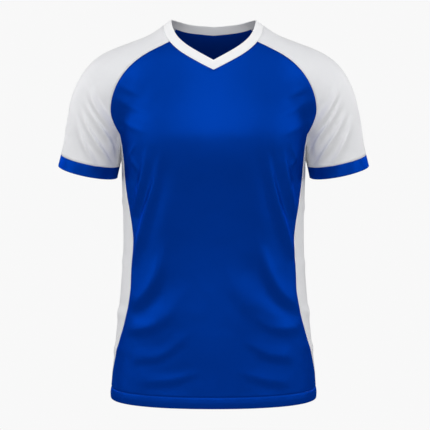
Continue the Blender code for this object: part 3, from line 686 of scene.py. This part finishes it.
def threadMaterial(name, look):
    # two plies twisted round each other, by the stitch's own map, with painted shade in the grooves between
    # them
    paint = bpy.data.materials.new(name)
    paint.use_nodes = True
    tree = paint.node_tree
    shader = tree.nodes["Principled BSDF"]
    stitchMap = tree.nodes.new("ShaderNodeUVMap")
    stitchMap.uv_map = "UVMap"
    split = tree.nodes.new("ShaderNodeSeparateXYZ")
    tree.links.new(stitchMap.outputs["UV"], split.inputs[0])
    turns = maths(tree, "MULTIPLY", split.outputs[0], twist["roundTurns"])
    turns = maths(tree, "MULTIPLY_ADD", split.outputs[1], twist["alongTurns"], turns)
    plies = maths(tree, "SINE", maths(tree, "MULTIPLY", turns, 2 * math.pi))
    plies = maths(tree, "MULTIPLY_ADD", plies, 0.5, 0.5)
    # painted shade: the deeper colour where the plies dip, following the same twist as the bump
    blendColour = tree.nodes.new("ShaderNodeMix")
    blendColour.data_type = "RGBA"
    blendColour.inputs["A"].default_value = (*look["deeper"], 1)
    blendColour.inputs["B"].default_value = (*look["colour"], 1)
    tree.links.new(plies, blendColour.inputs["Factor"])
    tree.links.new(blendColour.outputs["Result"], shader.inputs["Base Color"])
    bump = tree.nodes.new("ShaderNodeBump")
    bump.inputs["Distance"].default_value = twist["depth"]
    tree.links.new(plies, bump.inputs["Height"])
    tree.links.new(bump.outputs["Normal"], shader.inputs["Normal"])
    shader.inputs["Roughness"].default_value = twist["roughness"]
    shader.inputs["Specular IOR Level"].default_value = twist["specular"]
    return paint


blueThread = threadMaterial("blueThread", {"colour": (0.001, 0.040, 0.33), "deeper": (0.0004, 0.020, 0.20)})
whiteThread = threadMaterial("whiteThread", {"colour": (0.86, 0.86, 0.87), "deeper": (0.70, 0.71, 0.74)})
print("materials made")


# Each panel has its node, levels of rounding, a finer outer side or not, material, the record's slot, map,
# whether an allowance shows at its seams, how its rim rolls where it is sewn and where it is folded, the cut
# size and area of what shows, and what it hangs from
broad = {"levels": 2, "finer": True, "rolls": (0.00015, 0.0008)}
band = {"levels": 3, "finer": False, "lip": 0, "area": None}
blue = {"paint": blueKnit, "slot": "blue_knit"}
white = {"paint": whiteKnit, "slot": "white_knit"}
panels = {
    "frontPanel": {**broad, **blue, "node": "front", "map": mapTorso, "lip": 0, "flat": (0.50, 0.64),
                   "area": 0.255, "hangsFrom": ["sleeve_left", "sleeve_right"]},
    "backPanel": {**broad, **blue, "node": "back", "map": mapTorso, "lip": 0, "flat": (0.50, 0.69),
                  "area": 0.260, "hangsFrom": ["sleeve_left", "sleeve_right"]},
}
pairs = {
    "sidePanel": {**broad, **white, "node": "side_", "map": mapSide, "lip": 1, "flat": (0.125, 0.455),
                  "area": 0.042},
    "sleeve": {**broad, **white, "node": "sleeve_", "map": mapArm, "lip": 1, "flat": (0.40, 0.30),
               "area": 0.066, "hangsFrom": ["collar"]},
    "cuff": {**band, **blue, "node": "cuff_", "map": mapArm, "rolls": (0.0002, 0.0010),
             "flat": (0.366, 0.0225)},
}
for name, panel in pairs.items():
    for side in ("Left", "Right"):
        sleeve = "sleeve_" + side.lower()
        panels[name + side] = {"hangsFrom": [sleeve], **panel, "node": panel["node"] + side.lower()}
panels["collarBand"] = {
    **band, "paint": whiteRib, "slot": "white_rib", "node": "collar", "map": mapCollar,
    "merge": 0.0010,  # the narrow cells at the tip of the V go
    "rolls": (0.0003, 0.0009), "flat": (0.56, 0.017), "hangsFrom": ["sleeve_left", "sleeve_right"]}

pieces = {}
for name, panel in panels.items():
    merge = panel.get("merge", walls["merge"])
    piece = roundedCopy(panel["node"], name, panel["levels"], panel["finer"], merge)
    neighbours = treeOf([frame["nodes"][other["node"]] for label, other in panels.items() if label != name])
    rim = weightsOf(piece, "rim")
    outer = weightsOf(piece, "outer")
    rollRims(piece, neighbours, rim, outer, *panel["rolls"])
    settleCloth(piece, neighbours, panel["lip"])
    panel["map"](piece)
    markInside(piece, outer)
    piece.vertex_groups.clear()
    piece.data.materials.append(panel["paint"])
    pickOnly(piece)
    bpy.ops.object.shade_smooth_by_angle(angle=math.radians(walls["smoothTurn"]))
    pieces[name] = piece
    print("panel", name, len(piece.data.polygons), "faces")


def joinedUp(edges):
    # loose edges joined end to end into lines, the longest first
    ends = {}
    for edge in edges:
        for here, there in (edge, edge[::-1]):
            ends.setdefault(tuple(np.round(here, 5)), []).append(tuple(np.round(there, 5)))
    lines = []
    unused = set(ends)
    while unused:
        start = min((point for point in unused if len(ends[point]) == 1), default=min(unused))
        line = [start]
        unused.discard(start)
        while True:
            onward = [point for point in ends[line[-1]] if point in unused]
            if not onward:
                break
            line.append(onward[0])
            unused.discard(onward[0])
        if len(ends[line[-1]]) > 1 and line[0] in ends[line[-1]] and len(line) > 2:
            line.append(line[0])
        lines.append(np.array(line))
    return sorted(lines, key=len, reverse=True)


stitch = {
    "length": 0.0026, "pitch": 0.0032, "radius": 0.00024, "above": 0.00008, "sides": 6,
    "step": 0.0016,       # how finely a row's line is drawn
    "shortestRow": 0.03,
    "seamWithin": 0.0012, "freeBeyond": 0.0015,  # how near another panel is at a seam and at a free edge
    "probe": 0.004,       # a step that shows on which side of a line the panel lies
    "castFrom": 0.02,     # height from which a row is let down on its panel
}
nodeTrees = {name: treeOf([frame["nodes"][panel["node"]]]) for name, panel in panels.items()}
pieceTrees = {name: treeOf([piece]) for name, piece in pieces.items()}


def seamLines(name, other):
    # where one panel's outer rim meets another panel, or its free edge
    reach = 2 * stitch["freeBeyond"]
    if other is None:
        others = [tree for label, tree in nodeTrees.items() if label != name]
        close = [edge for edge in rims[name]
                 if all(gapTo(tree, edge, reach).min() > stitch["freeBeyond"] for tree in others)]
    else:
        close = [edge for edge in rims[name]
                 if gapTo(nodeTrees[other], edge, reach).max() < stitch["seamWithin"]]
    lines = [evenly(line, stitch["step"]) for line in joinedUp(close)]
    return [smoothed(line, 3) for line in lines if len(line) * stitch["step"] > stitch["shortestRow"]]


def laidOn(tree, line):
    settled = []
    for place, way in zip(line, outward(line)):
        way = Vector(way)
        high = Vector(place) + way * stitch["castFrom"]
        hit = tree.ray_cast(high, -way, 2 * stitch["castFrom"])[0]
        if hit is None:
            hit = tree.find_nearest(Vector(place) + way * stitch["probe"])[0]
        settled.append(hit + way * stitch["above"])
    return np.array(settled)


def besideSeam(name, line, offset):
    # a line on the panel, at a distance from its seam
    sideways = unit(np.cross(outward(line), unit(np.gradient(line, axis=0))))
    middle = len(line) // 2
    step = stitch["probe"] * sideways[middle]
    apart = [nodeTrees[name].find_nearest(Vector(line[middle] + turn * step))[3] for turn in (1, -1)]
    turn = 1 if apart[0] < apart[1] else -1
    return laidOn(pieceTrees[name], line + turn * offset * sideways)


def makeStitch():
    # one stitch lying along X, blunt at both ends
    bpy.ops.object.select_all(action="DESELECT")
    bpy.ops.mesh.primitive_uv_sphere_add(segments=stitch["sides"], ring_count=stitch["sides"], radius=1)
    one = bpy.context.object
    bpy.ops.object.mode_set(mode="EDIT")
    bpy.ops.mesh.select_all(action="SELECT")
    bpy.ops.transform.rotate(value=math.pi / 2, orient_axis="Y", center_override=(0, 0, 0))
    bpy.ops.object.mode_set(mode="OBJECT")
    shape = pointsOf(one)
    girth = np.linalg.norm(shape[:, 1:], axis=1)
    shape[:, 1:] *= (np.sqrt(girth) / np.maximum(girth, 1e-6))[:, None]
    shape *= (stitch["length"] / 2, stitch["radius"], stitch["radius"])
    shape[:, 0] += stitch["pitch"] / 2
    putPoints(one, shape)
    bpy.ops.object.shade_smooth()
    one.name = "oneStitch"
    return one


oneStitch = makeStitch()


def stitchRow(name, line, paint):
    # the stitch repeated along a line by an array, bent by a curve
    path = bpy.data.curves.new(name + "Path", "CURVE")
    path.dimensions = "3D"
    spline = path.splines.new("POLY")
    spline.points.add(len(line) - 1)
    spline.points.foreach_set("co", np.column_stack([line, np.ones(len(line))]).ravel())
    guide = bpy.data.objects.new(name + "Path", path)
    bpy.context.scene.collection.objects.link(guide)
    pickOnly(oneStitch)
    bpy.ops.object.duplicate()
    row = bpy.context.object
    row.name = name
    row.data.name = name
    repeat = row.modifiers.new("repeat", "ARRAY")
    repeat.fit_type = "FIT_CURVE"
    repeat.curve = guide
    repeat.use_relative_offset = False
    repeat.use_constant_offset = True
    repeat.constant_offset_displace = (stitch["pitch"], 0, 0)
    bend = row.modifiers.new("bend", "CURVE")
    bend.object = guide
    bpy.ops.object.modifier_apply(modifier="repeat")
    bpy.ops.object.modifier_apply(modifier="bend")
    row.data.materials.append(paint)
    bpy.data.objects.remove(guide)
    bpy.data.curves.remove(path)
    return row


# each row of stitches: the panel that it lies on, the panel at its seam (None is a free edge), distance from
# the seam, thread
rows = {
    "hemStitchesFront": ("frontPanel", None, 0.0203, blueThread),
    "hemStitchesBack": ("backPanel", None, 0.0203, blueThread),
    "neckStitchesFront": ("frontPanel", "collarBand", 0.0020, blueThread),
    "neckStitchesBack": ("backPanel", "collarBand", 0.0020, blueThread),
    "neckStitchesLeft": ("sleeveLeft", "collarBand", 0.0020, whiteThread),
    "neckStitchesRight": ("sleeveRight", "collarBand", 0.0020, whiteThread),
    "raglanStitchesFrontLeft": ("sleeveLeft", "frontPanel", 0.0020, whiteThread),
    "raglanStitchesFrontRight": ("sleeveRight", "frontPanel", 0.0020, whiteThread),
    "raglanStitchesBackLeft": ("sleeveLeft", "backPanel", 0.0020, whiteThread),
    "raglanStitchesBackRight": ("sleeveRight", "backPanel", 0.0020, whiteThread),
}
sewnOn = {name: [] for name in panels}
for name, (panel, other, offset, thread) in rows.items():
    for number, seam in enumerate(seamLines(panel, other), 1):
        line = smoothed(besideSeam(panel, seam, offset), 2)
        row = stitchRow(f"{name}{number}", line, thread)
        sewnOn[panel].append(row)
        print("stitches", row.name, "over", round(len(line) * stitch["step"], 3), "m")
bpy.data.objects.remove(oneStitch)

for name, panel in panels.items():
    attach(pieces[name], "root")
    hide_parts(panel["node"])
    for row in sewnOn[name]:
        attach(row, "root")
print("panels and stitches placed")


studio = {
    "floorHeight": -1.50,
    "floorReach": 60.0,
    "floorColour": (0.40, 0.40, 0.40),
    "backdrop": 0.94,
    "skyLight": 0.46,
    "aim": (0, 0, -0.3),
    "lightDistance": 3.0,
}
# each softbox: turn from the front, rise, width and height, power
softboxes = {
    "topSoftbox": (0, 55, (3.2, 0.6), 17),
    "highSoftbox": (0, 35, (3.2, 0.6), 10),
    "lowSoftbox": (0, 15, (3.2, 0.6), 9),
    "frontLeft": (-20, 14, (0.7, 1.8), 8),
    "frontRight": (20, 14, (0.7, 1.8), 7),
    "halfLeft": (-60, 14, (0.7, 1.8), 4),
    "halfRight": (60, 14, (0.7, 1.8), 4),
    "sideLeft": (-80, 14, (0.7, 1.8), 17),
    "sideRight": (80, 14, (0.7, 1.8), 16),
    "backLeft": (-130, 14, (0.7, 1.8), 19),
    "backRight": (130, 14, (0.7, 1.8), 17),
}


def cameraSwitch(tree, usual, seen):
    # one shader for the camera and another for light that bounces
    ray = tree.nodes.new("ShaderNodeLightPath")
    either = tree.nodes.new("ShaderNodeMixShader")
    tree.links.new(ray.outputs["Is Camera Ray"], either.inputs[0])
    tree.links.new(usual, either.inputs[1])
    tree.links.new(seen, either.inputs[2])
    return either.outputs[0]


def makeFloor():
    # a plain pale floor that runs evenly into the backdrop
    bpy.ops.mesh.primitive_plane_add(size=2 * studio["floorReach"], location=(0, 0, studio["floorHeight"]))
    floor = bpy.context.object
    floor.name = "studioFloor"
    paint = bpy.data.materials.new("floorPaint")
    paint.use_nodes = True
    tree = paint.node_tree
    shader = tree.nodes["Principled BSDF"]
    shader.inputs["Base Color"].default_value = (*studio["floorColour"], 1)
    shader.inputs["Roughness"].default_value = 0.9
    shader.inputs["Specular IOR Level"].default_value = 0.0
    even = tree.nodes.new("ShaderNodeEmission")
    even.inputs["Strength"].default_value = studio["backdrop"]
    switched = cameraSwitch(tree, shader.outputs[0], even.outputs[0])
    tree.links.new(switched, tree.nodes["Material Output"].inputs["Surface"])
    floor.data.materials.append(paint)
    bpy.ops.object.transform_apply(location=True, rotation=True, scale=True)


def makeSky():
    sky = bpy.data.worlds.new("studioSky")
    sky.use_nodes = True
    tree = sky.node_tree
    seen = tree.nodes["Background"]
    seen.inputs["Strength"].default_value = studio["backdrop"]
    seen.inputs["Color"].default_value = (1, 1, 1, 1)
    light = tree.nodes.new("ShaderNodeBackground")
    light.inputs["Strength"].default_value = studio["skyLight"]
    light.inputs["Color"].default_value = (1, 1, 1, 1)
    switched = cameraSwitch(tree, light.outputs[0], seen.outputs[0])
    tree.links.new(switched, tree.nodes["World Output"].inputs["Surface"])
    bpy.context.scene.world = sky


def makeLight(name, turn, rise, size, power):
    # a softbox on a circle round the chest: turned from the front, raised, and aimed at the middle
    turn, rise = math.radians(turn), math.radians(rise)
    back = Vector((math.sin(turn) * math.cos(rise), -math.cos(turn) * math.cos(rise), math.sin(rise)))
    lamp = bpy.data.lights.new(name, "AREA")
    lamp.shape = "RECTANGLE"
    lamp.size, lamp.size_y = size
    lamp.energy = power
    stand = bpy.data.objects.new(name, lamp)
    bpy.context.scene.collection.objects.link(stand)
    stand.location = Vector(studio["aim"]) + back * studio["lightDistance"]
    stand.rotation_euler = (-back).to_track_quat("-Z", "Y").to_euler()


view = {"rise": 6.0, "distance": 3.6, "aim": (0.0026, 0.0, -0.3553), "metresPerPixel": 0.00185, "pixels": 430,
        "sensor": 36}


def makeCamera():
    lens = bpy.data.cameras.new("camera")
    lens.sensor_width = view["sensor"]
    lens.lens = view["sensor"] * view["distance"] / (view["metresPerPixel"] * view["pixels"])
    camera = bpy.data.objects.new("camera", lens)
    bpy.context.scene.collection.objects.link(camera)
    rise = math.radians(view["rise"])
    back = Vector((0, -math.cos(rise), math.sin(rise))) * view["distance"]
    camera.location = Vector(view["aim"]) + back
    camera.rotation_euler = (-back).to_track_quat("-Z", "Y").to_euler()
    bpy.context.scene.camera = camera


makeFloor()
makeSky()
for name, (turn, rise, size, power) in softboxes.items():
    makeLight(name, turn, rise, size, power)
makeCamera()
bpy.context.scene.view_settings.view_transform = "Standard"
print("studio set")
